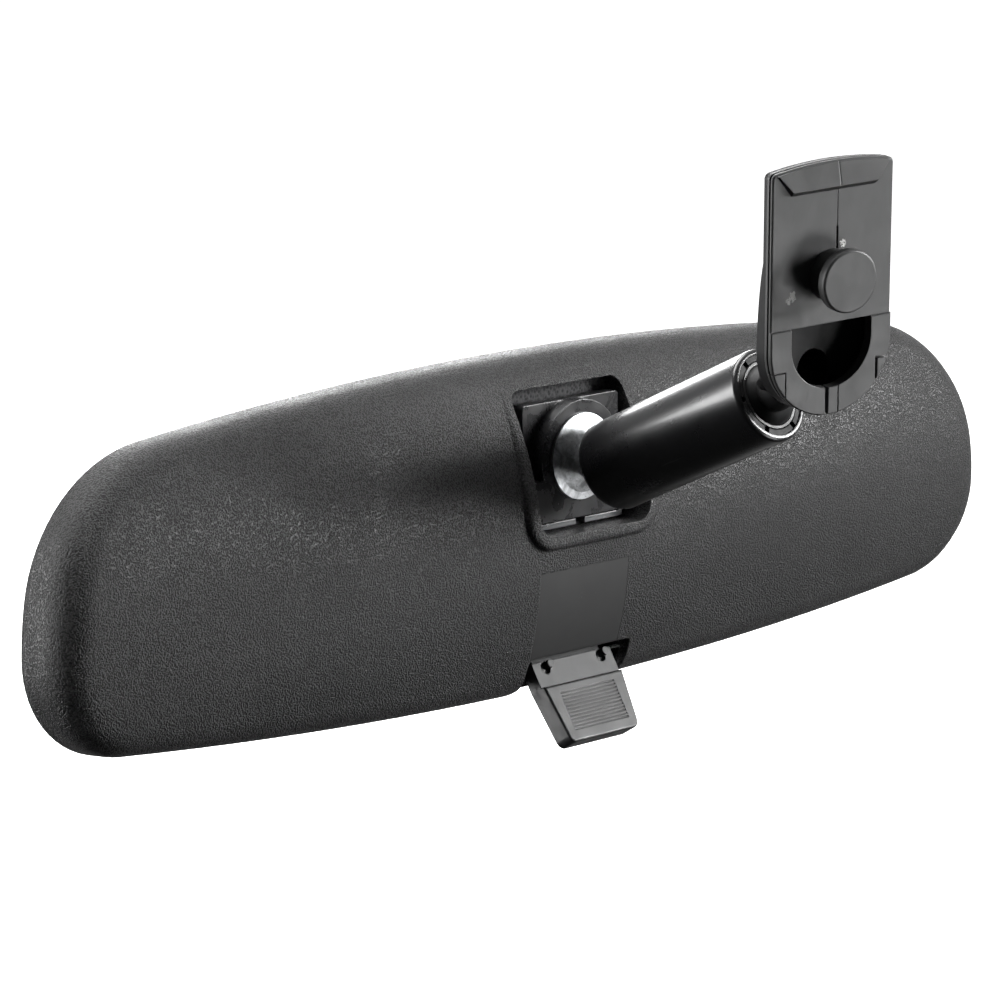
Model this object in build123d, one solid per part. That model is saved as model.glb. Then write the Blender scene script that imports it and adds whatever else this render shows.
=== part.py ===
from build123d import *
import math
import os

# Interior rearview mirror: windshield plate, two-ball arm, day/night toggle and mirror case.
# Millimetres. +X runs along the mirror, -Y points at the windshield, +Z is up.
# The origin is the middle of the locating boss's flat end.

# ---- mounting plate, in its own frame: x across, y up the plate, z out of its face ----
PLATE_NORMAL = (-0.2454, -0.962, -0.1201)      # leans with the windshield
PLATE_ACROSS = (0.9643, -0.2549, 0.0716)
PLATE_WIDTH = 25.0
PLATE_TOP = 19.95                              # above the boss centre
PLATE_BOTTOM = 24.85                           # below the boss centre
PLATE_THICK = 1.6
TOP_CORNER = 1.1
PLATE_ARCH = 1.1                               # rise of the arched top edge
RAMP_RUN = 4.55                                # height of the raised ramp at the top
RAMP_RISE = 1.0
BOSS_HEAD_R = 5.55
BOSS_NECK_R = 4.6
BOSS_HEIGHT = 5.6
BOSS_HEAD_THICK = 2.0
WINDOW_TOP = 8.55                              # below the boss centre
WINDOW_WIDTH = 16.6
WINDOW_BOTTOM = 20.0
FOOT_RISE = 0.35                               # the foot is proud of the face from its straight edge down
TAB_TOP = 15.9                                 # side tabs of the foot, below the boss centre
TAB_INSIDE = 9.3                               # half-width left between the tabs
TAB_GROOVE_DEPTH = 1.3
TAB_GROOVES = (0.2, 0.5)                       # width of the left and of the right groove
COVER_EDGE = 2.6                               # depth of the cover's straight edge
COVER_DEPTH = 6.9
COVER_WALL = 1.5
COVER_DOME = (15.6, 36.0)                      # half-axes of the domed back, across and along
COVER_DOME_Y = -14.0
GROOVE_START = 0.5                             # shadow groove round the plate, behind its face
GROOVE = 0.5
GROOVE_DEPTH = 0.7

# ---- balls and arm ----
UPPER_BALL = (9.33, 27.94, -24.18)
ARM_DIRECTION = (0.0, -0.908, 0.419)           # lower ball to upper ball
BALL_SPACING = 36.5
STEM_LEAN = 31.0                               # degrees between the neck and the plate normal
NECK_TIP_R = 4.2
STUD_NECK_R = 3.7
STEM_START = 8.8                               # neck's end, from the ball centre
STEM_HEAD = 13.0                               # screw head's seat, from the ball centre
MOUTH_SWEEP_R = 9.7                            # space that the tube's end swings through
BALL_R = 6.0
FIT = 0.1                                      # radial clearance of each sphere fit
LINER_THICK = 0.5
LOWER_OVERHANG = 3.7                           # tube ends beyond the ball centres
UPPER_OVERHANG = 2.4
TUBE_R_LOWER = 8.35
TUBE_R_UPPER = 8.6
BORE_R_LOWER = 7.3
BORE_R_UPPER = 7.55
MOUTH_R = 6.4
END_ROUND = 2.3
LIP_THICK = 0.8
SEAT_DEPTH = 3.4
CUP_LENGTH = 7.5
SPRING_WIRE_R = 0.65
SPRING_TURNS = 6
COLLAR_SLOTS = 6

# ---- stud of the mirror and toggle, in the case frame ----
STUD_Z = 12.7                                  # height of the stud above the case centre
LOWER_BALL_Y = -9.2
FOOT_Y = 0.8                                   # face of the ring round the stud
FOOT_R = 8.0
NECK_R = 2.6
TOGGLE_HALF_WIDTH = 12.7
TOGGLE_TOP = 23.0
TOGGLE_BOTTOM = 1.4
TOGGLE_FACE = 3.5                              # recessed upper face
TOGGLE_BACK = 5.4
RING_R = 10.4
PLATEAU_TOP = 9.2
HINGE = (6.5, 21.0)                            # y, z of the day/night pin
HINGE_PIN_R = 0.9
HINGE_BARREL_R = 1.9
HINGE_PIN_LENGTH = 35.0
PIVOT = (6.7, -22.1)                           # y, z of the lever pin
PIVOT_PIN_R = 1.1
PIVOT_PIN_LENGTH = 31.0
CRANK_PIN = (8.35, -17.2)                      # y, z of the link's end pin at rest
CRANK_PIN_R = 0.9

# ---- mirror case, in the case frame: y = 0 near its back, +y to the driver ----
HALF_LENGTH = 122.2
RIM_TOP = 31.4
RIM_BOTTOM = -31.7
TOP_ARC_R = 855.0
BOTTOM_ARC_R = 1179.0
SIDE_ARC_R = 68.0
SIDE_ARC_Z = -8.9
TOP_CORNER_R = 29.0
BOTTOM_CORNER_R = 19.0
RIM_Y = 13.9
FRONT_Y = 14.9
WALL = 2.0
DRAFT = 5.0
DRAFT_RUN = 20.0
SHOULDER_R = 6.5
DOME_Y = -2.2
DOME_Z = -4.0
DOME_R = 62.0
DOME_LONG_R = 1300.0
POCKET_HALF_WIDTH = 14.65
POCKET_TOP = 25.6
POCKET_BOTTOM = -0.4
PLATFORM_WIDTH = 2.6
PLATFORM_TIP = 2.8                             # degrees
TONGUE_DEPTH = 2.4
LEVER_WIDTH = 21.0
LEVER_TOP = (3.5, -25.2)                       # y, z of the land's upper edge
LEVER_LEAN = 31.0                              # degrees from vertical, towards the windshield
LEVER_LENGTH = 16.0                            # from the top of its land to its tip
LEVER_TIP_WIDTH = 18.2
LEVER_LAND = 4.7                               # flat land above the ribbed pad
LEVER_THICK = 2.9
PAD_STEP = 0.9                                 # pad stands proud of the land
RIB_COUNT = 12
RIB_PITCH = 0.66
SLOT_TOP = -23.4
SLOT_DEPTH = 11.4
SLOT_WIDTH = 27.2
GLASS_FRONT = 14.1
GLASS_MID_THICK = 3.4
WEDGE_DEG = 3.2
SILVER_THICK = 0.25
PAD_THICK = 0.5

boss_root = Vector(*PLATE_NORMAL) * -BOSS_HEIGHT
plate_frame = Plane(origin=boss_root, x_dir=PLATE_ACROSS, z_dir=PLATE_NORMAL).location
lower_ball = Vector(*UPPER_BALL) - Vector(*ARM_DIRECTION).normalized() * BALL_SPACING
case_origin = lower_ball - Vector(0, LOWER_BALL_Y, STUD_Z)
case_frame = Location(case_origin)
arm_frame = Plane(origin=lower_ball, x_dir=(1, 0, 0), z_dir=ARM_DIRECTION).location


# ------------------------------------------------------------------ shared helpers
def disc(radius, z0, z1, x=0, y=0):
    """Cylinder along Z between two heights."""
    return Pos(x, y, (z0 + z1) / 2) * Cylinder(radius, z1 - z0)


def block(x0, x1, y0, y1, z0, z1):
    """Box between two corners."""
    return Pos((x0 + x1) / 2, (y0 + y1) / 2, (z0 + z1) / 2) * Box(x1 - x0, y1 - y0, z1 - z0)


def rod_x(radius, half_length, y, z):
    """Cylinder along X, centred on the case's middle plane."""
    return Pos(0, y, z) * Rot(0, 90, 0) * Cylinder(radius, 2 * half_length)


def spun(points):
    """Solid of revolution about Z from a closed (radius, height) outline."""
    return revolve(Plane.XZ * make_face(Polyline(*points, close=True)), Axis.Z)


def along_x(points, half_length):
    """Prism along X from a closed (y, z) outline."""
    return extrude(Plane.YZ * make_face(Polyline(*points, close=True)), half_length, both=True)


# ------------------------------------------------------------------ mounting plate
def plate_outline(grow=0.0):
    """Arched top, straight sides and a round foot."""
    half = PLATE_WIDTH / 2 + grow
    top = PLATE_TOP + grow
    foot = -PLATE_BOTTOM + PLATE_WIDTH / 2
    side_top = top - PLATE_ARCH
    outline = Line((-half, side_top), (-half, foot))
    outline += ThreePointArc((-half, foot), (0, foot - half), (half, foot))
    outline += Line((half, foot), (half, side_top))
    outline += ThreePointArc((half, side_top), (0, top), (-half, side_top))
    face = make_face(outline)
    return fillet([v for v in face.vertices() if v.Y > 0], TOP_CORNER)


def window_outline(grow=0.0):
    """D-shaped window: straight on top, round below."""
    half = WINDOW_WIDTH / 2 + grow
    centre = -WINDOW_BOTTOM + WINDOW_WIDTH / 2
    outline = Line((-half, centre), (-half, -WINDOW_TOP + grow))
    outline += Line((-half, -WINDOW_TOP + grow), (half, -WINDOW_TOP + grow))
    outline += Line((half, -WINDOW_TOP + grow), (half, centre))
    outline += ThreePointArc((half, centre), (0, centre - half), (-half, centre))
    return make_face(outline)


def make_mount_plate():
    plate = extrude(plate_outline(), -PLATE_THICK)
    plate = chamfer(plate.faces().sort_by(Axis.Z)[-1].edges(), 0.25)
    # raised ramp across the top, a trapezoid in plan, flush at the arched edge
    low = PLATE_TOP - RAMP_RUN
    ramp = along_x([(low - 0.8, -0.5), (low - 0.6, 0), (low + 0.2, RAMP_RISE), (PLATE_TOP + 2, -0.35)], 20)
    ramp &= extrude(make_face(Polyline((-8.3, low - 1), (8.3, low - 1), (12.6, PLATE_TOP),
                                       (-12.6, PLATE_TOP), close=True)), 2, taper=20)
    ramp &= extrude(plate_outline(-0.3), 2)
    plate += ramp
    foot = extrude(plate_outline(), 1.0, both=True) & block(-20, 20, -40, -WINDOW_TOP, -0.4, FOOT_RISE)
    plate += chamfer(foot.faces().sort_by(Axis.Z)[-1].edges(), 0.2)
    plate -= extrude(window_outline(), 6, both=True)
    # shadow groove round the edge
    rim = plate_outline(0.5) - plate_outline(-GROOVE_DEPTH)
    plate -= extrude(Pos(0, 0, -GROOVE_START) * rim, -GROOVE)
    # split above the boss, with the fine parting line that runs on to the top
    plate -= block(0.8, 1.2, BOSS_NECK_R - 0.2, BOSS_NECK_R + 3.8, -1.2, 1)
    plate -= block(0.95, 1.05, BOSS_NECK_R + 3.7, PLATE_TOP + 1, -0.15, 1)
    # snap tab in the middle of the foot
    plate -= block(-1.1, -0.4, -PLATE_BOTTOM - 1, -WINDOW_BOTTOM + 0.5, -1.3, 1)
    plate -= block(1.5, 1.7, -PLATE_BOTTOM - 1, -WINDOW_BOTTOM + 0.8, FOOT_RISE - 0.2, 1)
    # L-shaped grooves that part the side tabs from the foot
    for sign, width in zip((-1, 1), TAB_GROOVES):
        upright = sorted((sign * TAB_INSIDE, sign * (TAB_INSIDE + width)))
        level = sorted((sign * TAB_INSIDE, sign * PLATE_WIDTH))
        plate -= block(*upright, -PLATE_BOTTOM, -TAB_TOP, -TAB_GROOVE_DEPTH, 2)
        plate -= block(*level, -TAB_TOP - width, -TAB_TOP, -TAB_GROOVE_DEPTH, 2)
    return plate


def make_locating_boss():
    shank_top = BOSS_HEIGHT - BOSS_HEAD_THICK
    boss = disc(BOSS_NECK_R, 0, shank_top)
    head = disc(BOSS_HEAD_R, shank_top, BOSS_HEIGHT)
    return boss + fillet(head.edges(), 0.45)


ball_in_plate = plate_frame.inverse() * Location(UPPER_BALL)
BALL_X = ball_in_plate.position.X
BALL_Y = ball_in_plate.position.Y
BALL_Z = ball_in_plate.position.Z
stem_direction = Vector(0, math.sin(math.radians(STEM_LEAN)), math.cos(math.radians(STEM_LEAN)))
stem_frame = Plane(origin=(BALL_X, BALL_Y, BALL_Z), x_dir=(1, 0, 0), z_dir=stem_direction).location


def make_mount_rear_cover():
    edge = extrude(Pos(0, 0, -PLATE_THICK) * plate_outline(-0.12), PLATE_THICK - COVER_EDGE)
    dome = Pos(0, COVER_DOME_Y, 0) * scale(Sphere(1), (*COVER_DOME, COVER_DEPTH))
    cover = edge + (extrude(plate_outline(-0.12), -COVER_DEPTH - 1) & dome
                    & block(-20, 20, -40, 40, -20, -PLATE_THICK))
    # crown behind the lower half, where the neck grows out
    crown = Pos(0, -13.0, -5.0) * Rot(8, 0, 0) * scale(Sphere(1), (10.8, 12.2, 7.0))
    cover += crown & block(-20, 20, -40, 20, -20, -4.5)
    cover -= stem_frame * Sphere(MOUTH_SWEEP_R)
    neck = spun([(0, STEM_START), (NECK_TIP_R, STEM_START), (NECK_TIP_R + 1.5, 10.1), (7.5, 19.5), (0, 19.5)])
    # gusset on each side of the neck
    for sign in (-1, 1):
        fin = Polyline((sign * 3, 10.3), (sign * 6.4, 10.3), (sign * 10.2, 15.5), (sign * 10.2, 19.5),
                       (sign * 3, 19.5), close=True)
        neck += extrude(Plane.XZ * make_face(fin), 0.45, both=True)
    neck = stem_frame * neck & extrude(plate_outline(-0.6), -30) & block(-20, 20, -60, 40, -30, -4.5)
    cover += neck
    # the hollow behind the window
    hollow = extrude(plate_outline(-1.9), -COVER_DEPTH + COVER_WALL)
    hollow &= Pos(0, COVER_DOME_Y, 0) * scale(Sphere(1), (COVER_DOME[0] - 2, COVER_DOME[1] - 3,
                                                          COVER_DEPTH - COVER_WALL))
    cover -= hollow & block(-20, 20, -40, -1.5, -20, 0)
    # bore of the ball stem and the seat of its screw
    cover -= stem_frame * disc(1.95, 8.0, 17.0)
    return cover - stem_frame * disc(3.3, STEM_HEAD, 20)


def make_mount_ball_stud():
    ball = Sphere(BALL_R)
    stem = disc(STUD_NECK_R, 4.3, 8.7)
    shank = disc(1.9, STEM_START - 0.1, STEM_HEAD - 0.1)
    flange = disc(3.6, STEM_START - 0.6, STEM_START - 0.02)
    return stem_frame * (ball + stem + shank + flange)


def make_stud_screw():
    """Round-head screw from the hollow into the end of the ball stem."""
    top = STEM_HEAD + 1.1
    head = disc(3.0, STEM_HEAD, top)
    head -= Pos(0, 0, top) * (Box(4.0, 0.8, 1.0) + Box(0.8, 4.0, 1.0))
    return stem_frame * fillet(head.edges().filter_by(GeomType.CIRCLE).sort_by(Axis.Z)[-1], 0.3)


def make_mount_spring_clip():
    """Flat spring across the hollow that grips the windshield button's edge."""
    strip = block(-9.0, 9.0, -6.2, -2.2, -2.4, -1.9)
    strip += block(-9.0, -8.5, -6.2, -2.2, -3.4, -1.9)
    strip += block(8.5, 9.0, -6.2, -2.2, -3.4, -1.9)
    return strip


# ------------------------------------------------------------------ arm
INNER_SPHERE = BALL_R + FIT
OUTER_SPHERE = INNER_SPHERE + LINER_THICK
SEAT_SPHERE = OUTER_SPHERE + FIT


def make_liner(at, mouth_side):
    """Thin spherical zone round a ball; mouth_side is +1 or -1 along the arm."""
    zone = Sphere(OUTER_SPHERE) - Sphere(INNER_SPHERE)
    keep = block(-9, 9, -9, 9, -3.4, 2.2) if mouth_side > 0 else block(-9, 9, -9, 9, -2.2, 3.4)
    return arm_frame * Pos(0, 0, at) * (zone & keep)


def make_seat(at, mouth_side, bore, outer_end, slots):
    """Ring between the tube's bore and the liner at a mouth of the tube."""
    low, high = sorted((mouth_side * outer_end, mouth_side * (outer_end - SEAT_DEPTH)))
    ring = disc(bore - 0.02, low, high) - Sphere(SEAT_SPHERE)
    for index in range(slots):
        slot = block(0, 9, -0.5, 0.5, *sorted((mouth_side * 0.6, mouth_side * 9)))
        ring -= Rot(0, 0, index * 360 / slots) * slot
    return arm_frame * Pos(0, 0, at) * ring


def bore_radius(s):
    """Bore of the tube at a distance from the lower ball's centre."""
    share = (s + LOWER_OVERHANG) / (BALL_SPACING + LOWER_OVERHANG + UPPER_OVERHANG)
    return BORE_R_LOWER + (BORE_R_UPPER - BORE_R_LOWER) * share


def make_arm_tube():
    low = -LOWER_OVERHANG
    high = BALL_SPACING + UPPER_OVERHANG
    lip = low + LIP_THICK
    body = spun([(0, low), (TUBE_R_LOWER, low), (TUBE_R_UPPER, high), (0, high)])
    circles = body.edges().filter_by(GeomType.CIRCLE).sort_by(Axis.Z)
    body = fillet(circles[0], END_ROUND)
    body = fillet(body.edges().filter_by(GeomType.CIRCLE).sort_by(Axis.Z)[-1], 0.8)
    bore = spun([(0, lip), (bore_radius(lip), lip), (bore_radius(high), high + 0.01),
                 (0, high + 0.01)])
    body -= bore
    body -= disc(MOUTH_R, low - 1, lip + 1)
    body -= Sphere(SEAT_SPHERE)
    return arm_frame * body


def make_pressure_cup(at, mouth_side):
    """Cup that the spring pushes against the liner."""
    near = -mouth_side * 2.6
    far = -mouth_side * (2.6 + CUP_LENGTH)
    low, high = sorted((near, far))
    cup = disc(bore_radius(at) - 0.35, low, high) - Sphere(SEAT_SPHERE)
    spring_seat = sorted((far, far + mouth_side * 1.6))
    cup -= disc(5.6, *spring_seat) - disc(2.6, *spring_seat)
    cup -= disc(1.4, -20, 20)
    return arm_frame * Pos(0, 0, at) * cup


def make_arm_spring():
    start = 2.6 + CUP_LENGTH - 1.6
    stop = BALL_SPACING - start
    run = stop - start - 2 * SPRING_WIRE_R - 0.4
    pitch = run / SPRING_TURNS
    path = Helix(pitch, run, 4.2, center=(0, 0, start + SPRING_WIRE_R))
    section = Plane(origin=path @ 0, z_dir=path % 0) * Circle(SPRING_WIRE_R)
    return arm_frame * sweep(section, path, is_frenet=True)


# ------------------------------------------------------------------ ball stud and toggle
def make_mirror_ball_stud():
    """Cast stud: ball, neck and flared foot, with a shank through the toggle plate."""
    reach = FOOT_Y - LOWER_BALL_Y
    body = Sphere(BALL_R)
    body += spun([(0, -4.5), (NECK_R, -4.5), (NECK_R, -6.5), (3.9, -7.9), (6.6, -9.2),
                  (FOOT_R, -9.5), (FOOT_R, -reach), (0, -reach)])
    body += disc(3.4, -reach - (TOGGLE_BACK - FOOT_Y) - 1.5, -reach)
    along_stud = Plane(origin=(0, LOWER_BALL_Y, STUD_Z), x_dir=(1, 0, 0), z_dir=(0, -1, 0)).location
    return case_frame * along_stud * body


def make_stud_washer():
    y0 = TOGGLE_BACK + 0.02
    washer = Pos(0, y0 + 0.5, STUD_Z) * Rot(90, 0, 0) * (Cylinder(5.6, 1.0) - Cylinder(3.45, 2))
    return case_frame * washer


def make_toggle_plate():
    base = block(-TOGGLE_HALF_WIDTH, TOGGLE_HALF_WIDTH, TOGGLE_FACE, TOGGLE_BACK,
                 TOGGLE_BOTTOM, TOGGLE_TOP)
    plateau = block(-TOGGLE_HALF_WIDTH, TOGGLE_HALF_WIDTH, FOOT_Y, TOGGLE_BACK,
                    TOGGLE_BOTTOM, PLATEAU_TOP)
    slab = base + plateau
    slab = fillet(slab.edges().filter_by(Axis.Y).group_by(Axis.Z)[0], 2.6)
    slab = fillet(slab.edges().filter_by(Axis.Y).group_by(Axis.Z)[-1], 0.8)
    ring = Pos(0, (FOOT_Y + TOGGLE_BACK) / 2, STUD_Z) * Rot(90, 0, 0) * Cylinder(
        RING_R, TOGGLE_BACK - FOOT_Y)
    slab += ring
    slab -= Pos(0, 3, STUD_Z) * Rot(90, 0, 0) * Cylinder(3.45, 20)
    # two hinge barrels behind the top edge
    for sign in (-1, 1):
        barrel = Pos(sign * 9.6, HINGE[0], HINGE[1]) * Rot(0, 90, 0) * Cylinder(HINGE_BARREL_R, 5.6)
        web = block(sign * 9.6 - 2.8, sign * 9.6 + 2.8, TOGGLE_BACK - 0.5, HINGE[0],
                    HINGE[1] - HINGE_BARREL_R, HINGE[1] + HINGE_BARREL_R)
        slab += barrel + web
    slab -= rod_x(HINGE_PIN_R + 0.05, 20, *HINGE)
    return case_frame * slab


def make_toggle_link():
    """Strap from the toggle plate's foot to the lever's fork, with a notched front bar."""
    shelf = block(-11.2, 11.2, FOOT_Y + 0.3, TOGGLE_BACK + 1.6, 0.1, TOGGLE_BOTTOM - 0.25)
    shelf -= block(-1.2, 1.2, 0, 3.2, -1, 2)
    strap = along_x([(TOGGLE_BACK + 0.02, 4.0), (TOGGLE_BACK + 0.02, -12.5),
                     (CRANK_PIN[0] - 0.8, CRANK_PIN[1]), (CRANK_PIN[0] + 0.8, CRANK_PIN[1]),
                     (TOGGLE_BACK + 1.6, -12.0), (TOGGLE_BACK + 1.6, 4.0)], 4.4)
    pin = rod_x(CRANK_PIN_R, 8.0, *CRANK_PIN)
    return case_frame * (shelf + strap + pin)


def make_toggle_hinge_pin():
    return case_frame * rod_x(HINGE_PIN_R, HINGE_PIN_LENGTH / 2, *HINGE)


def make_lever_pivot_pin():
    return case_frame * rod_x(PIVOT_PIN_R, PIVOT_PIN_LENGTH / 2, *PIVOT)


def make_day_night_lever():
    """Ribbed tab outside, barrel on its pin, and two fork arms round the link's end pin."""
    # local frame: -z down the lever, y = 0 its windshield-side face, +y into its thickness
    half = LEVER_WIDTH / 2
    tip = LEVER_TIP_WIDTH / 2
    slab = block(-half, half, 0, LEVER_THICK, -LEVER_LAND, 0.2)
    slab += block(-9.0, 9.0, 1.3, LEVER_THICK, -1.0, 3.2)
    outline = Polyline((-half, -LEVER_LAND), (half, -LEVER_LAND), (tip, -LEVER_LENGTH),
                       (-tip, -LEVER_LENGTH), close=True)
    pad = extrude(Plane.XZ * make_face(outline), PAD_STEP)
    pad += extrude(Plane.XZ * make_face(outline), -LEVER_THICK)
    pad = fillet([e for e in pad.edges().filter_by(Axis.Y)
                  if e.center().Z < -LEVER_LENGTH + 1], 1.6)
    pad = fillet(pad.faces().sort_by(Axis.Y)[0].edges(), 0.45)
    lever = slab + pad
    for row in range(RIB_COUNT):
        z = -LEVER_LAND - 1.7 - row * RIB_PITCH
        lever -= block(-7.2, 7.2, -2.0, -PAD_STEP + 0.22, z - 0.14, z + 0.14)
    for sign in (-1, 1):
        lever -= Pos(sign * 7.4, 0, -1.1) * Rot(90, 0, 0) * Cylinder(1.15, 1.4)
        lever += Pos(sign * 7.4 + 1.2, 0, -0.5) * Rot(90, 0, 0) * Cylinder(0.8, 1.2)
    lever = Pos(0, *LEVER_TOP) * Rot(-LEVER_LEAN, 0, 0) * lever
    lever += rod_x(2.3, 9.0, *PIVOT)
    lean_up = math.atan2(CRANK_PIN[0] - PIVOT[0], CRANK_PIN[1] - PIVOT[1])
    for sign in (-1, 1):
        arm = block(-1.2, 1.2, -1.9, 1.9, 0, 6.6) - block(-2, 2, -1.2, 1.2, 3.4, 9)
        lever += Pos(sign * 6.2, *PIVOT) * Rot(-math.degrees(lean_up), 0, 0) * arm
    lever -= rod_x(PIVOT_PIN_R + 0.05, 20, *PIVOT)
    return case_frame * lever


def make_detent_spring():
    """Leaf spring on the case that bears on the lever's barrel."""
    leaf = block(-3.0, 3.0, PIVOT[0] + 2.9, PIVOT[0] + 3.2, -26.5, -14.0)
    leaf += block(-3.0, 3.0, PIVOT[0] + 2.9, PIVOT[0] + 3.9, -14.4, -14.0)
    return case_frame * leaf


# ------------------------------------------------------------------ mirror case
def corner_arc_centres(top, offset):
    """Centre and radius of the corner arc that is tangent to the side arc and the long arc."""
    long_r = TOP_ARC_R if top else BOTTOM_ARC_R
    long_z = (RIM_TOP - TOP_ARC_R) if top else (RIM_BOTTOM + BOTTOM_ARC_R)
    corner = TOP_CORNER_R if top else BOTTOM_CORNER_R
    side = (HALF_LENGTH - SIDE_ARC_R, SIDE_ARC_Z)
    reach_long = long_r - corner
    reach_side = SIDE_ARC_R - corner
    gap = math.hypot(side[0], side[1] - long_z)
    along = (reach_long ** 2 - reach_side ** 2 + gap ** 2) / (2 * gap)
    across = math.sqrt(reach_long ** 2 - along ** 2)
    ux, uz = side[0] / gap, (side[1] - long_z) / gap
    candidates = [(along * ux + k * across * uz, long_z + along * uz - k * across * ux)
                  for k in (-1, 1)]
    return max(candidates), corner - offset


def ray_point(start, through, radius):
    """Point at a radius from start, on the ray through another point."""
    dx, dz = through[0] - start[0], through[1] - start[1]
    size = math.hypot(dx, dz)
    return (start[0] + dx / size * radius, start[1] + dz / size * radius)


def halfway(start, end):
    """Middle of two points."""
    return ((start[0] + end[0]) / 2, (start[1] + end[1]) / 2)


def case_outline(offset=0.0):
    """Rim outline in the XZ plane, drawn in by offset: tangent arcs all round."""
    side = (HALF_LENGTH - SIDE_ARC_R, SIDE_ARC_Z)
    side_r = SIDE_ARC_R - offset
    joints = {}
    for top in (True, False):
        centre, corner_r = corner_arc_centres(top, offset)
        long_r = (TOP_ARC_R if top else BOTTOM_ARC_R) - offset
        long_z = (RIM_TOP - TOP_ARC_R) if top else (RIM_BOTTOM + BOTTOM_ARC_R)
        on_long = ray_point((0, long_z), centre, long_r)
        on_side = ray_point(side, centre, side_r)
        joints[top] = (on_long, ray_point(centre, halfway(on_long, on_side), corner_r), on_side)
    side_mid = ray_point(side, halfway(joints[True][2], joints[False][2]), side_r)
    top_mid = (0, RIM_TOP - offset)
    bottom_mid = (0, RIM_BOTTOM + offset)

    def mirrored(point):
        return (-point[0], point[1])

    right = [top_mid] + list(joints[True]) + [side_mid] + list(reversed(joints[False])) + [bottom_mid]
    arcs = [ThreePointArc(mirrored(joints[True][0]), top_mid, joints[True][0]),
            ThreePointArc(mirrored(joints[False][0]), bottom_mid, joints[False][0])]
    for flip in (lambda point: point, mirrored):
        arcs += [ThreePointArc(*[flip(p) for p in right[1:4]]),
                 ThreePointArc(*[flip(p) for p in right[3:6]]),
                 ThreePointArc(*[flip(p) for p in right[5:8]])]
    return make_face(Wire(arcs))


def rim_plane(y):
    """Sketch plane at a depth: its x is +X, its y is +Z and its normal is -Y."""
    return Plane(origin=(0, y, 0), x_dir=(1, 0, 0), z_dir=(0, -1, 0))


def case_form(offset):
    """Solid inside the case wall drawn in by offset: drafted sides, domed back, round shoulder."""
    draft = DRAFT_RUN * math.tan(math.radians(DRAFT))
    sides = loft([rim_plane(RIM_Y) * case_outline(offset),
                  rim_plane(RIM_Y - DRAFT_RUN) * case_outline(offset + draft)], ruled=True)
    form = sides & dome_solid(offset)
    shoulder = form.faces().sort_by(Axis.Y)[0].edges()
    return fillet(shoulder, SHOULDER_R - offset)


def dome_solid(offset):
    """Thick slab whose back is domed: tightly from top to bottom, gently along the case."""
    back = DOME_Y + offset
    radius = DOME_R - offset
    centre = back + radius
    reach = 38.0
    edge = centre - math.sqrt(radius ** 2 - reach ** 2)
    section = Line((edge, DOME_Z - reach), (40, DOME_Z - reach))
    section += Line((40, DOME_Z - reach), (40, DOME_Z + reach))
    section += Line((40, DOME_Z + reach), (edge, DOME_Z + reach))
    section += ThreePointArc((edge, DOME_Z + reach), (back, DOME_Z), (edge, DOME_Z - reach))
    half_turn = 6.5
    turning_axis = Axis((0, back + DOME_LONG_R, 0), (0, 0, 1))
    return revolve((Plane.YZ * make_face(section)).rotate(turning_axis, -half_turn),
                   turning_axis, 2 * half_turn)


def pocket_outline(grow=0.0):
    """Window for the toggle plate: small round corners above, larger below."""
    half = POCKET_HALF_WIDTH + grow
    face = make_face(Polyline((-half, POCKET_BOTTOM - grow), (half, POCKET_BOTTOM - grow),
                              (half, POCKET_TOP + grow), (-half, POCKET_TOP + grow), close=True))
    low = [v for v in face.vertices() if v.Y < 5]
    face = fillet(low, 3.4 + grow)
    high = [v for v in face.vertices() if v.Y > POCKET_TOP + grow - 0.1]
    return fillet(high, 2.4 + grow)


def glass_back(z):
    """Depth of the wedge's back face at a height: the glass is thicker above."""
    return GLASS_FRONT - GLASS_MID_THICK - z * math.tan(math.radians(WEDGE_DEG))


def slanted_layer(outline, behind, thick):
    """Layer parallel to the wedge's back face, lying a distance behind it."""
    reach = 36.0
    prism = extrude(rim_plane(30) * outline, 30)
    band = [(glass_back(-reach) - behind, -reach), (glass_back(reach) - behind, reach),
            (glass_back(reach) - behind - thick, reach), (glass_back(-reach) - behind - thick, -reach)]
    return prism & along_x(band, 130)


def lever_slot():
    """Open notch for the lever, with round upper corners and flared lower ones."""
    half = SLOT_WIDTH / 2
    flare = 1.6
    low = RIM_BOTTOM + 0.6
    outline = Polyline((-half - flare, low - 6), (half + flare, low - 6), (half + flare, low),
                       (half, low + flare), (half, SLOT_TOP), (-half, SLOT_TOP),
                       (-half, low + flare), (-half - flare, low), close=True)
    slot = extrude(rim_plane(SLOT_DEPTH) * make_face(outline), 20)
    upper = slot.edges().filter_by(Axis.Y).group_by(Axis.Z)[-1]
    slot = fillet(upper, 1.2)
    bends = [e for e in slot.edges().filter_by(Axis.Y) if abs(e.center().Z - low - flare) < 0.1]
    return fillet(bends, 1.6)


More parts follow.
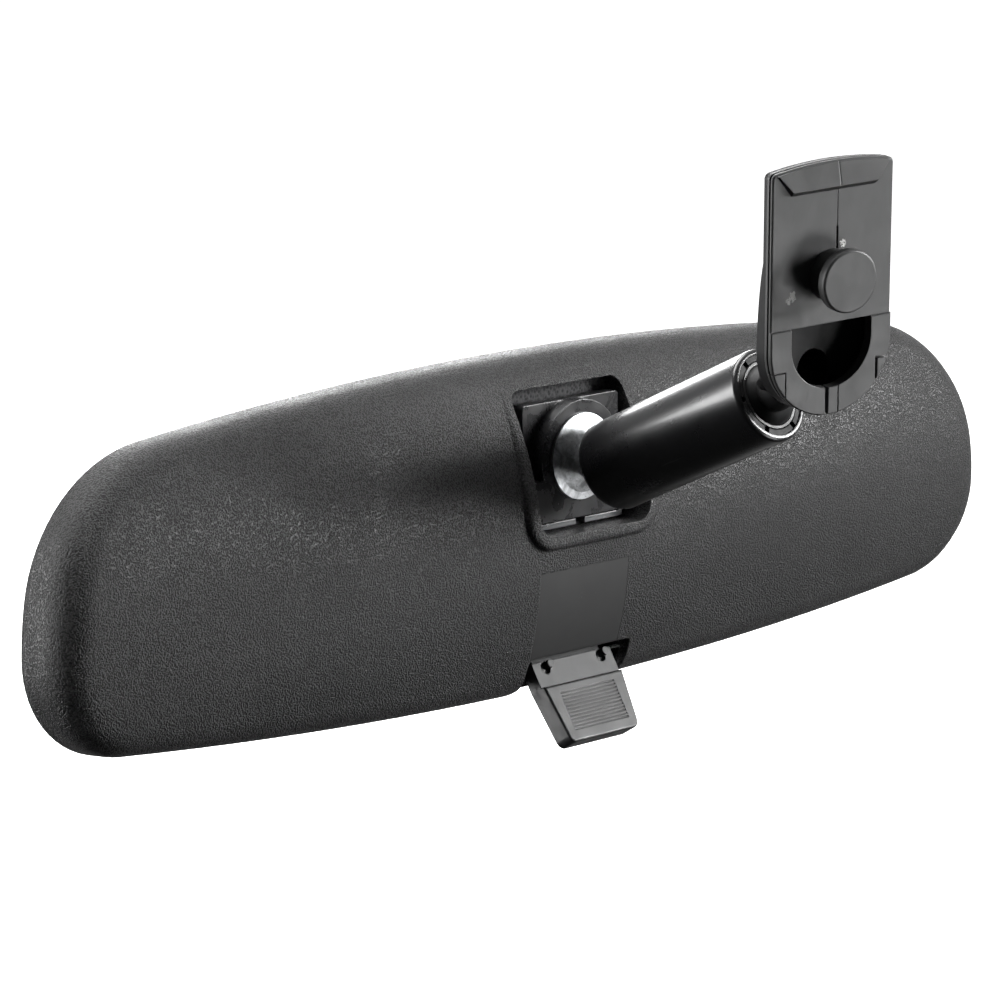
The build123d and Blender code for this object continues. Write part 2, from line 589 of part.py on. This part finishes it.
def make_case_shell():
    shell = case_form(0.0)
    # soft platform round the pocket: flush above, proud below
    top_line = Axis((0, 5.0, POCKET_TOP + 1.5), (1, 0, 0))
    platform = extrude(rim_plane(8) * pocket_outline(PLATFORM_WIDTH), 16)
    platform &= dome_solid(0.0).rotate(top_line, -PLATFORM_TIP)
    platform = fillet(platform.faces().sort_by(Axis.Y)[0].edges(), 1.2)
    shell += platform
    cavity = case_form(WALL)
    shell -= cavity
    # pocket skirt, cheeks for the hinge pin, and ribs that carry the glass
    skirt = extrude(rim_plane(7.9) * pocket_outline(1.5), 12) & cavity
    skirt -= block(-30, 30, 2.4, 20, -10, 8)
    for sign in (-1, 1):
        cheek = block(0, 2.2, 0, 8.2, HINGE[1] - 2.6, HINGE[1] + 2.6)
        skirt += Pos(sign * (POCKET_HALF_WIDTH + 1.1) - 1.1, 0, 0) * cheek & cavity
        post = block(0, 2.4, -2, PIVOT[0] + 2.0, PIVOT[1] - 3.0, PIVOT[1] + 3.0)
        skirt += Pos(sign * 15.0 - 1.2, 0, 0) * post & cavity
    ribs = None
    for x in (-100, -75, -50, -28, 28, 50, 75, 100):
        rib = block(x - 0.6, x + 0.6, -5, 12, -32, 32) & cavity
        ribs = rib if ribs is None else ribs + rib
    behind_pad = slanted_layer(Rectangle(260, 70), SILVER_THICK + PAD_THICK - 8.0 + 0.05, 8.0)
    ribs -= behind_pad
    shell += skirt + ribs
    # rebate for the bezel's tongue
    tongue_space = extrude(rim_plane(RIM_Y + 1) * case_outline(WALL + 0.3), TONGUE_DEPTH + 1.1)
    shell -= tongue_space - extrude(rim_plane(RIM_Y + 1) * case_outline(WALL + 1.6), 20)
    # window, lever slot and pin holes
    shell -= extrude(rim_plane(9.5) * pocket_outline(), 15)
    shell -= lever_slot()
    shell -= rod_x(HINGE_PIN_R, HINGE_PIN_LENGTH / 2 + 0.1, *HINGE)
    shell -= rod_x(PIVOT_PIN_R, PIVOT_PIN_LENGTH / 2 + 0.1, *PIVOT)
    return case_frame * shell


def make_bezel_ring():
    ring = extrude(rim_plane(FRONT_Y) * case_outline(0.0), FRONT_Y - RIM_Y)
    ring = fillet(ring.faces().sort_by(Axis.Y)[-1].edges(), 0.8)
    ring += extrude(rim_plane(RIM_Y) * case_outline(WALL + 0.35), TONGUE_DEPTH)
    ring -= extrude(rim_plane(GLASS_FRONT + 0.05) * case_outline(WALL + 1.35), 10)
    ring -= extrude(rim_plane(FRONT_Y + 1) * case_outline(WALL + 2.6), 10)
    return case_frame * ring


def make_prism_glass():
    body = extrude(rim_plane(GLASS_FRONT) * case_outline(WALL + 1.45), 12)
    front = [(glass_back(-36), -36), (GLASS_FRONT + 1, -36), (GLASS_FRONT + 1, 36), (glass_back(36), 36)]
    return case_frame * (body & along_x(front, 130) & case_form(WALL + 0.1))


def make_mirror_silvering():
    layer = slanted_layer(case_outline(WALL + 1.9), 0.02, SILVER_THICK - 0.02)
    return case_frame * (layer & case_form(WALL + 0.1))


def make_glass_backing_pad():
    return case_frame * slanted_layer(case_outline(WALL + 4.4), SILVER_THICK, PAD_THICK)


def build_parts():
    """Every sub-part by its node name."""
    return {
        "mount_plate": make_mount_plate(),
        "locating_boss": make_locating_boss(),
        "mount_rear_cover": make_mount_rear_cover(),
        "mount_ball_stud": make_mount_ball_stud(),
        "stud_screw": make_stud_screw(),
        "mount_spring_clip": make_mount_spring_clip(),
        "upper_ball_liner": make_liner(BALL_SPACING, 1),
        "upper_ball_seat": make_seat(BALL_SPACING, 1, bore_radius(BALL_SPACING - 1),
                                     UPPER_OVERHANG - 0.3, COLLAR_SLOTS),
        "upper_pressure_cup": make_pressure_cup(BALL_SPACING, 1),
        "arm_tube": make_arm_tube(),
        "arm_spring": make_arm_spring(),
        "lower_pressure_cup": make_pressure_cup(0, -1),
        "lower_ball_seat": make_seat(0, -1, BORE_R_LOWER, LOWER_OVERHANG - LIP_THICK - 0.02, 0),
        "lower_ball_liner": make_liner(0, -1),
        "mirror_ball_stud": make_mirror_ball_stud(),
        "stud_washer": make_stud_washer(),
        "toggle_plate": make_toggle_plate(),
        "toggle_link": make_toggle_link(),
        "toggle_hinge_pin": make_toggle_hinge_pin(),
        "case_shell": make_case_shell(),
        "bezel_ring": make_bezel_ring(),
        "prism_glass": make_prism_glass(),
        "mirror_silvering": make_mirror_silvering(),
        "glass_backing_pad": make_glass_backing_pad(),
        "day_night_lever": make_day_night_lever(),
        "lever_pivot_pin": make_lever_pivot_pin(),
        "detent_spring": make_detent_spring(),
    }


IN_PLATE_FRAME = {"mount_plate", "locating_boss", "mount_rear_cover", "mount_ball_stud",
                  "stud_screw", "mount_spring_clip"}


if __name__ == "__main__":
    os.makedirs("parts", exist_ok=True)
    for name, solid in build_parts().items():
        if name in IN_PLATE_FRAME:
            solid = plate_frame * solid
        export_step(solid, f"parts/{name}.step")
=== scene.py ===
import math

import bpy
from mathutils import Matrix, Vector


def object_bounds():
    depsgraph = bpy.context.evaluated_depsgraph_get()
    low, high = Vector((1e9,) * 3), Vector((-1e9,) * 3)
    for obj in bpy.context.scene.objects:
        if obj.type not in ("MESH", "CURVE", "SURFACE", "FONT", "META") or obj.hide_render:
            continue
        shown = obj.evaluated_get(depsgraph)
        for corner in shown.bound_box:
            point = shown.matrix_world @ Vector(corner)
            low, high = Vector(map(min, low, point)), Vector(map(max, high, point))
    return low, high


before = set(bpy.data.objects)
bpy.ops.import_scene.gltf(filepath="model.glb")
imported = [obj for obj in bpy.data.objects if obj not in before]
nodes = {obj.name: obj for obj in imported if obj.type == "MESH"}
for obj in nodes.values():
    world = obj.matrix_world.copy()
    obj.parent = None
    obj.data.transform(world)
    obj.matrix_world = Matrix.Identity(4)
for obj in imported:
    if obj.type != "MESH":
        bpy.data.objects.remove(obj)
cad_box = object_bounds()
MM = 0.001

# The middle of the case, which the pattern of its plastic is measured from.
CASE = Vector((9.33, 70.28, -52.17)) * MM


# ---------------------------------------------------------------- camera and lamps

AZIMUTH, ELEVATION, ROLL = map(math.radians, (-45.9, 10.56, -0.27))
CAMERA_AT = Vector((-596.3, -495.2, 106.8)) * MM
LENS, SENSOR_WIDTH = 165.9, 36.0
CLIP = (0.01, 50.0)


def make_camera():
    back = Vector((math.sin(AZIMUTH) * math.cos(ELEVATION), -math.cos(AZIMUTH) * math.cos(ELEVATION),
                   math.sin(ELEVATION)))
    right = Vector((math.cos(AZIMUTH), math.sin(AZIMUTH), 0))
    up = back.cross(right)
    right, up = (right * math.cos(ROLL) + up * math.sin(ROLL),
                 up * math.cos(ROLL) - right * math.sin(ROLL))
    camera = bpy.data.objects.new("camera", bpy.data.cameras.new("camera"))
    bpy.context.scene.collection.objects.link(camera)
    camera.matrix_world = Matrix.Translation(CAMERA_AT) @ Matrix((right, up, back)).transposed().to_4x4()
    camera.data.lens = LENS
    camera.data.sensor_width = SENSOR_WIDTH
    camera.data.clip_start, camera.data.clip_end = CLIP
    bpy.context.scene.camera = camera


def softbox(name, aim, direction, distance, size, power):
    """A rectangular lamp that faces `aim` from `direction`."""
    data = bpy.data.lights.new(name, "AREA")
    data.shape = "RECTANGLE"
    data.size, data.size_y = size
    data.energy = power
    lamp = bpy.data.objects.new(name, data)
    bpy.context.scene.collection.objects.link(lamp)
    direction = Vector(direction).normalized()
    lamp.location = aim + direction * distance
    lamp.rotation_mode = "QUATERNION"
    lamp.rotation_quaternion = direction.to_track_quat("Z", "Y")
    lamp.visible_camera = False


# ---------------------------------------------------------------- materials

class Shader:
    """One material and the few calls that its nodes are made with."""

    def __init__(self, name, colour, roughness, metallic=0.0, **sockets):
        self.material = bpy.data.materials.new(name)
        self.material.use_nodes = True
        self.tree = self.material.node_tree
        self.bsdf = self.tree.nodes["Principled BSDF"]
        self.bsdf.inputs["Base Color"].default_value = (*colour, 1)
        self.bsdf.inputs["Roughness"].default_value = roughness
        self.bsdf.inputs["Metallic"].default_value = metallic
        for socket, value in sockets.items():
            self.bsdf.inputs[socket.replace("_", " ")].default_value = value
        self.place = self.node("ShaderNodeTexCoord").outputs["Object"]
        self.normal = None

    def node(self, kind, settings=None, **inputs):
        """A new node; its inputs are given by name, or by number as i0, i1 and so on."""
        made = self.tree.nodes.new(kind)
        for key, value in (settings or {}).items():
            setattr(made, key, value)
        for key, value in inputs.items():
            numbered = key[0] == "i" and key[1:].isdigit()
            socket = made.inputs[int(key[1:]) if numbered else key.replace("_", " ")]
            if isinstance(value, bpy.types.NodeSocket):
                self.tree.links.new(value, socket)
            else:
                socket.default_value = value
        return made

    def math(self, operation, a, b=0.0, c=0.0):
        return self.node("ShaderNodeMath", {"operation": operation}, i0=a, i1=b, i2=c).outputs[0]

    def stretched(self, scale, turn=(0, 0, 0)):
        """The surface's place turned and scaled; a small scale draws the pattern out along its axis."""
        return self.node("ShaderNodeMapping", Vector=self.place, Scale=scale, Rotation=turn).outputs[0]

    def noise(self, size, detail=2.0, rough=0.5, distortion=0.0, where=None):
        """Noise from 0 to 1 whose features are about `size` metres across."""
        return self.node("ShaderNodeTexNoise", Vector=where or self.place, Scale=1 / size, Detail=detail,
                         Roughness=rough, Distortion=distortion).outputs[0]

    def ramp(self, value, low, high, start=0.0, end=1.0):
        """Smooth step from start, where value is low, to end, where it is high."""
        return self.node("ShaderNodeMapRange", {"interpolation_type": "SMOOTHSTEP"}, i0=value, i1=low,
                         i2=high, i3=start, i4=end).outputs[0]

    def mix(self, amount, a, b):
        """Colour a where amount is 0 and b where it is 1."""
        made = self.node("ShaderNodeMix", {"data_type": "RGBA"})
        for socket, value in ((made.inputs[0], amount), (made.inputs[6], a), (made.inputs[7], b)):
            if isinstance(value, bpy.types.NodeSocket):
                self.tree.links.new(value, socket)
            else:
                socket.default_value = (*value, 1) if isinstance(value, tuple) else value
        return made.outputs[2]

    def bump(self, height, depth, strength=1.0):
        made = self.node("ShaderNodeBump", Strength=strength, Distance=depth, Height=height)
        if self.normal:
            self.tree.links.new(self.normal, made.inputs["Normal"])
        self.normal = made.outputs[0]

    def rounded(self, radius):
        """Rounds the edges' shading, as a mould's small radii do."""
        self.normal = self.node("ShaderNodeBevel", {"samples": 6}, Radius=radius).outputs[0]

    def edges(self, radius):
        """1 on sharp edges and 0 away from them."""
        round_normal = self.node("ShaderNodeBevel", {"samples": 4}, Radius=radius).outputs[0]
        true_normal = self.node("ShaderNodeNewGeometry").outputs["Normal"]
        same = self.node("ShaderNodeVectorMath", {"operation": "DOT_PRODUCT"}, i0=round_normal,
                         i1=true_normal).outputs["Value"]
        return self.ramp(same, 0.98, 0.75)

    def spot(self, centre, radius):
        """1 round a point of the surface and 0 past `radius` from it, with a ragged edge."""
        far = self.node("ShaderNodeVectorMath", {"operation": "DISTANCE"}, i0=self.place,
                        i1=centre).outputs["Value"]
        ragged = self.math("MULTIPLY_ADD", self.noise(1.1 * MM, 3, 0.6), radius * 2.4, radius * -1.2)
        return self.ramp(self.math("ADD", far, ragged), radius, radius * 0.75)

    def use(self, socket, value):
        self.tree.links.new(value, self.bsdf.inputs[socket])

    def done(self):
        if self.normal:
            self.use("Normal", self.normal)
        return self.material


def grained(name, colour, lighter, patch):
    """Charcoal plastic with the fine worm grain of an etched mould and painted shade in the grain's
    valleys; `patch` is left smooth, and that painted shade darkens it all over.
    """
    s = Shader(name, colour, 0.5, Specular_IOR_Level=0.42)
    s.rounded(0.5 * MM)
    worms = s.noise(0.3 * MM, 0.8, 0.4, 0.25)
    height = s.ramp(worms, 0.38, 0.62)
    if patch:
        split = s.node("ShaderNodeSeparateXYZ", Vector=s.place).outputs
        (x0, x1), (z0, z1) = patch
        soft = 0.2 * MM
        inside = s.math("MULTIPLY", s.ramp(split["X"], x0 - soft, x0 + soft),
                        s.ramp(split["X"], x1 + soft, x1 - soft))
        inside = s.math("MULTIPLY", inside, s.ramp(split["Z"], z1 + soft, z1 - soft))
        inside = s.math("MULTIPLY", inside, s.ramp(split["Z"], z0 - soft, z0 + soft))
        height = s.mix(inside, height, (0.0, 0.0, 0.0))
        height = s.node("ShaderNodeRGBToBW", Color=height).outputs[0]
    s.bump(height, 0.17 * MM, 1.0)
    wide = s.ramp(s.noise(28 * MM, 3, 0.55), 0.3, 0.7)
    base = s.mix(wide, colour, lighter)
    # Painted shade: the base colour falls to 0.4 of itself in the grain's valleys, and in the smooth
    # patch, where the height is 0, it falls to 0.4 all over.
    painted_valley_shade = s.mix(s.ramp(height, 0.0, 1.0), (0.4, 0.4, 0.4), (1.0, 1.0, 1.0))
    multiply = {"data_type": "RGBA", "blend_type": "MULTIPLY"}
    base = s.node("ShaderNodeMix", multiply, i0=1.0, i6=base, i7=painted_valley_shade).outputs[2]
    dust = s.ramp(s.noise(0.9 * MM, 3, 0.6, 0.2), 0.68, 0.78, 0.0, 0.3)
    base = s.mix(dust, base, tuple(v * 2.4 for v in lighter))
    worn = s.math("MULTIPLY", s.edges(0.35 * MM), 0.25)
    s.use("Base Color", s.mix(worn, base, tuple(v * 1.8 for v in lighter)))
    valleys = s.ramp(height, 0.0, 1.0, 0.62, 0.42)
    s.use("Roughness", s.math("ADD", valleys, s.ramp(s.noise(9 * MM, 3), 0.3, 0.7, -0.03, 0.04)))
    return s.done()


def moulded(name, colour, roughness, scuffs=(), radius=0.25, ripple=0.012, coat=0.0, shine=0.5):
    """Smooth moulded plastic: faint flow marks, handling marks, paler edges and a few named scuffs."""
    s = Shader(name, colour, roughness, Coat_Weight=coat, Coat_Roughness=0.12,
               Specular_IOR_Level=shine)
    s.rounded(radius * MM)
    s.bump(s.noise(1.4 * MM, 4, 0.6), ripple * MM, 0.8)
    s.bump(s.noise(9 * MM, 2, 0.5, 0.6), ripple * 6 * MM, 0.5)
    paler = tuple(min(1.0, v * 1.9 + 0.01) for v in colour)
    flow = s.ramp(s.noise(7 * MM, 4, 0.6, 1.2, s.stretched((1, 1, 0.35))), 0.35, 0.7, 0.0, 0.45)
    base = s.mix(flow, colour, tuple(v * 1.35 for v in colour))
    base = s.mix(s.math("MULTIPLY", s.edges(radius * 0.8 * MM), 0.5), base, paler)
    specks = s.ramp(s.noise(0.7 * MM, 3, 0.6), 0.7, 0.76, 0.0, 0.4)
    base = s.mix(specks, base, paler)
    for centre, size, grit in scuffs:
        torn = s.ramp(s.noise(grit, 3, 0.7, 0.8), 0.42, 0.52)
        base = s.mix(s.math("MULTIPLY", s.spot(centre, size), torn), base, (0.7, 0.7, 0.68))
    s.use("Base Color", base)
    rub = s.ramp(s.noise(4 * MM, 4, 0.65, 0.8), 0.3, 0.75, roughness - 0.05, roughness + 0.09)
    s.use("Roughness", rub)
    return s.done()


TUBE_LEAN = (-0.43, 0, 0)


def painted(name):
    """Gloss black paint with a slight orange peel, dust and a few hairlines."""
    s = Shader(name, (0.008, 0.008, 0.009), 0.3, Coat_Weight=0.35, Coat_Roughness=0.16)
    s.rounded(0.4 * MM)
    s.bump(s.noise(1.6 * MM, 2, 0.5), 0.006 * MM, 0.8)
    along_tube = s.stretched((1, 0.05, 0.05), TUBE_LEAN)
    hairlines = s.ramp(s.noise(0.5 * MM, 2, 0.5, 0.3, along_tube), 0.7, 0.74, 0.0, 0.1)
    dust = s.ramp(s.noise(0.8 * MM, 3, 0.65), 0.69, 0.78, 0.0, 0.18)
    base = s.mix(s.math("MAXIMUM", hairlines, dust), (0.008, 0.008, 0.009), (0.25, 0.25, 0.25))
    s.use("Base Color", base)
    s.use("Roughness", s.ramp(s.noise(6 * MM, 4, 0.6), 0.3, 0.75, 0.26, 0.36))
    return s.done()


def metal(name, colour, darker, roughness, streak, mottle=0.5, radius=0.2):
    """Bare metal with streaks along the tool's path, dull patches and brighter rubbed edges."""
    s = Shader(name, colour, roughness, 1.0)
    s.rounded(radius * MM)
    s.bump(s.noise(0.9 * MM, 5, 0.65), 0.02 * MM, 0.7)
    lines = s.noise(0.8 * MM, 4, 0.6, 0.4, s.stretched(streak))
    s.bump(lines, 0.02 * MM, 0.5)
    cloud = s.ramp(s.noise(2.6 * MM, 5, 0.7, 1.0), 0.35, 0.68, 0.0, mottle)
    base = s.mix(s.math("MAXIMUM", cloud, s.ramp(lines, 0.52, 0.7, 0.0, mottle)), colour, darker)
    bright = tuple(min(1.0, v * 1.25) for v in colour)
    s.use("Base Color", s.mix(s.math("MULTIPLY", s.edges(radius * MM), 0.7), base, bright))
    s.use("Roughness", s.ramp(s.noise(1.8 * MM, 4, 0.6), 0.3, 0.7, roughness - 0.06, roughness + 0.14))
    return s.done()


def nylon(name):
    s = Shader(name, (0.02, 0.02, 0.021), 0.35)
    s.rounded(0.15 * MM)
    s.bump(s.noise(0.8 * MM, 3), 0.01 * MM)
    grease = s.ramp(s.noise(3 * MM, 3, 0.6), 0.45, 0.7, 0.0, 0.5)
    s.use("Base Color", s.mix(grease, (0.022, 0.022, 0.023), (0.008, 0.008, 0.008)))
    s.use("Roughness", s.ramp(grease, 0.0, 0.5, 0.46, 0.22))
    return s.done()


def foam(name):
    s = Shader(name, (0.025, 0.025, 0.027), 0.9)
    cell = 0.7 * MM
    cells = s.node("ShaderNodeTexVoronoi", {"feature": "F1"}, Vector=s.place, Scale=1 / cell).outputs[0]
    s.bump(cells, 0.12 * MM)
    s.use("Base Color", s.mix(s.ramp(cells, 0.1, 0.7), (0.012, 0.012, 0.013), (0.05, 0.05, 0.052)))
    return s.done()


def clear_glass(name):
    s = Shader(name, (0.93, 0.97, 0.955), 0.0, Transmission_Weight=1.0, IOR=1.52)
    smudge = s.ramp(s.noise(22 * MM, 5, 0.62, 0.8), 0.55, 0.78, 0.0, 0.05)
    s.use("Roughness", smudge)
    s.bump(s.noise(60 * MM, 1), 0.01 * MM, 0.3)
    return s.done()


def silvered(name):
    s = Shader(name, (0.93, 0.935, 0.94), 0.015, 1.0)
    haze = s.ramp(s.noise(30 * MM, 4, 0.6), 0.5, 0.8, 0.0, 1.0)
    s.use("Base Color", s.mix(haze, (0.93, 0.935, 0.94), (0.88, 0.89, 0.9)))
    s.use("Roughness", s.ramp(haze, 0.0, 1.0, 0.012, 0.04))
    return s.done()


# The smooth field of the grained case, between the pocket and the lever, and the marks on the plate.
PATCH = ((CASE.x - 13.8 * MM, CASE.x + 9.7 * MM), (CASE.z - 24 * MM, CASE.z - 7 * MM))
CHARCOAL, CHARCOAL_LIGHT = (0.027, 0.027, 0.0275), (0.033, 0.033, 0.0335)
SATIN_GREY = (0.05, 0.0505, 0.051)
PLATE_SCUFFS = ((Vector((-6.18, 7.76, -2.93)) * MM, 0.95 * MM, 1.4 * MM),
                (Vector((2.94, 4.33, 5.94)) * MM, 0.8 * MM, 0.35 * MM))


def paint_nodes():
    shell = grained("case_grain", CHARCOAL, CHARCOAL_LIGHT, PATCH)
    frame_plastic = grained("bezel_grain", (0.027, 0.027, 0.028), (0.036, 0.036, 0.037), None)
    plate = moulded("plate_plastic", SATIN_GREY, 0.4, PLATE_SCUFFS)
    cover = moulded("cover_plastic", (0.012, 0.012, 0.0125), 0.5, ripple=0.04, shine=0.25)
    lever = moulded("lever_plastic", (0.022, 0.0224, 0.023), 0.44)
    gloss = moulded("toggle_plastic", (0.012, 0.012, 0.013), 0.28)
    collar = moulded("collar_plastic", (0.01, 0.01, 0.0105), 0.55, shine=0.25)
    grey = moulded("link_plastic", (0.06, 0.062, 0.065), 0.22, coat=0.3)
    liner_grease = nylon("liner_nylon")
    oxide = metal("black_oxide_steel", (0.05, 0.05, 0.052), (0.02, 0.02, 0.021), 0.35, (1, 1, 8))
    steel = metal("turned_steel", (0.56, 0.57, 0.58), (0.38, 0.385, 0.39), 0.26, (1, 1, 8))
    spring = metal("spring_steel", (0.3, 0.3, 0.31), (0.16, 0.16, 0.165), 0.32, (1, 4, 1))
    zinc = metal("cast_zinc", (0.7, 0.715, 0.73), (0.3, 0.31, 0.32), 0.42, (1, 6, 1), 0.85)
    looks = {
        shell: ["case_shell"],
        frame_plastic: ["bezel_ring"],
        plate: ["mount_plate", "locating_boss"],
        cover: ["mount_rear_cover", "mount_ball_stud"],
        lever: ["day_night_lever"],
        gloss: ["toggle_plate"],
        collar: ["upper_ball_seat", "upper_pressure_cup", "lower_pressure_cup", "lower_ball_seat"],
        grey: ["toggle_link"],
        painted("tube_paint"): ["arm_tube"],
        liner_grease: ["upper_ball_liner", "lower_ball_liner"],
        oxide: ["stud_screw"],
        steel: ["stud_washer", "toggle_hinge_pin", "lever_pivot_pin"],
        spring: ["mount_spring_clip", "arm_spring", "detent_spring"],
        zinc: ["mirror_ball_stud"],
        foam("pad_foam"): ["glass_backing_pad"],
        clear_glass("wedge_glass"): ["prism_glass"],
        silvered("silvering"): ["mirror_silvering"],
    }
    for look, names in looks.items():
        for name in names:
            nodes[name].data.materials.clear()
            nodes[name].data.materials.append(look)


# ---------------------------------------------------------------- stage

FLOOR_DROP = 0.10
FLOOR_SIDES, FLOOR_RINGS = 64, (0.5, 2.0, 8.0, 30.0)
# The world's strength on the camera's side and behind the object, where it grows between two values of
# how far a direction points away from the camera and, by UPWARD, up.
DARK_SIDE, SWEEP = 0.035, 0.75
SWEEP_START, SWEEP_END = -0.1, 1.1
UPWARD = 0.6
# Each lamp's direction from the object, its distance and size in metres, and its power in watts.
LAMPS = {
    "top_box": ((0.05, 0.35, 1.0), 0.9, (0.9, 0.5), 14),
    "right_box": ((0.71, -0.66, 0.22), 1.0, (0.4, 0.32), 17),
    "front_box": ((0.36, -0.84, -0.42), 1.0, (0.4, 0.4), 3),
    "left_box": ((-0.72, 0.69, 0.0), 1.0, (0.5, 0.9), 19),
    "back_box": ((0.55, 0.8, 0.3), 1.0, (0.5, 0.3), 6),
}


def make_floor(middle, height):
    """A round pale floor in rings, which only the camera sees: it adds no light to the object."""
    mesh = bpy.data.meshes.new("floor")
    turns = [2 * math.pi * k / FLOOR_SIDES for k in range(FLOOR_SIDES)]
    verts = [(0, 0, 0)] + [(r * math.cos(t), r * math.sin(t), 0) for r in FLOOR_RINGS for t in turns]
    sectors = [(k, (k + 1) % FLOOR_SIDES) for k in range(FLOOR_SIDES)]
    faces = [(0, 1 + a, 1 + b) for a, b in sectors]
    for ring in range(len(FLOOR_RINGS) - 1):
        inner = 1 + ring * FLOOR_SIDES
        outer = inner + FLOOR_SIDES
        faces += [(inner + a, outer + a, outer + b, inner + b) for a, b in sectors]
    mesh.from_pydata(verts, [], faces)
    floor = bpy.data.objects.new("floor", mesh)
    floor.location = (middle.x, middle.y, height)
    bpy.context.scene.collection.objects.link(floor)
    s = Shader("studio_floor", (0.9, 0.9, 0.9), 0.8, Emission_Strength=0.8)
    s.bsdf.inputs["Emission Color"].default_value = (1, 1, 1, 1)
    cloud = s.ramp(s.noise(0.4, 3), 0.3, 0.7)
    s.use("Base Color", s.mix(cloud, (0.93, 0.93, 0.93), (0.89, 0.89, 0.89)))
    mesh.materials.append(s.done())
    floor.visible_diffuse = False
    floor.visible_glossy = False
    floor.visible_transmission = False


def make_world():
    """White to the camera; as light, a sweep behind the object that is dark on the camera's side."""
    world = bpy.data.worlds.new("studio")
    bpy.context.scene.world = world
    world.use_nodes = True
    tree = world.node_tree
    seen = tree.nodes["Background"]
    seen.inputs["Color"].default_value = (1, 1, 1, 1)
    seen.inputs["Strength"].default_value = 1.0
    direction = tree.nodes.new("ShaderNodeTexCoord").outputs["Generated"]
    facing = tree.nodes.new("ShaderNodeVectorMath")
    facing.operation = "DOT_PRODUCT"
    tree.links.new(direction, facing.inputs[0])
    facing.inputs[1].default_value = (-math.sin(AZIMUTH), math.cos(AZIMUTH), UPWARD)
    sweep = tree.nodes.new("ShaderNodeMapRange")
    sweep.interpolation_type = "SMOOTHSTEP"
    for socket, value in zip(sweep.inputs[1:5], (SWEEP_START, SWEEP_END, DARK_SIDE, SWEEP)):
        socket.default_value = value
    tree.links.new(facing.outputs["Value"], sweep.inputs[0])
    lit = tree.nodes.new("ShaderNodeBackground")
    tree.links.new(sweep.outputs[0], lit.inputs["Strength"])
    by_eye = tree.nodes.new("ShaderNodeLightPath").outputs["Is Camera Ray"]
    both = tree.nodes.new("ShaderNodeMixShader")
    tree.links.new(by_eye, both.inputs[0])
    tree.links.new(lit.outputs[0], both.inputs[1])
    tree.links.new(seen.outputs[0], both.inputs[2])
    tree.links.new(both.outputs[0], tree.nodes["World Output"].inputs["Surface"])


def make_stage():
    low, high = cad_box
    middle = (low + high) / 2
    make_floor(middle, low.z - FLOOR_DROP)
    make_world()
    for name, (direction, distance, size, power) in LAMPS.items():
        softbox(name, middle, direction, distance, size, power)
    bpy.context.scene.view_settings.view_transform = "Standard"


make_camera()
make_stage()
paint_nodes()
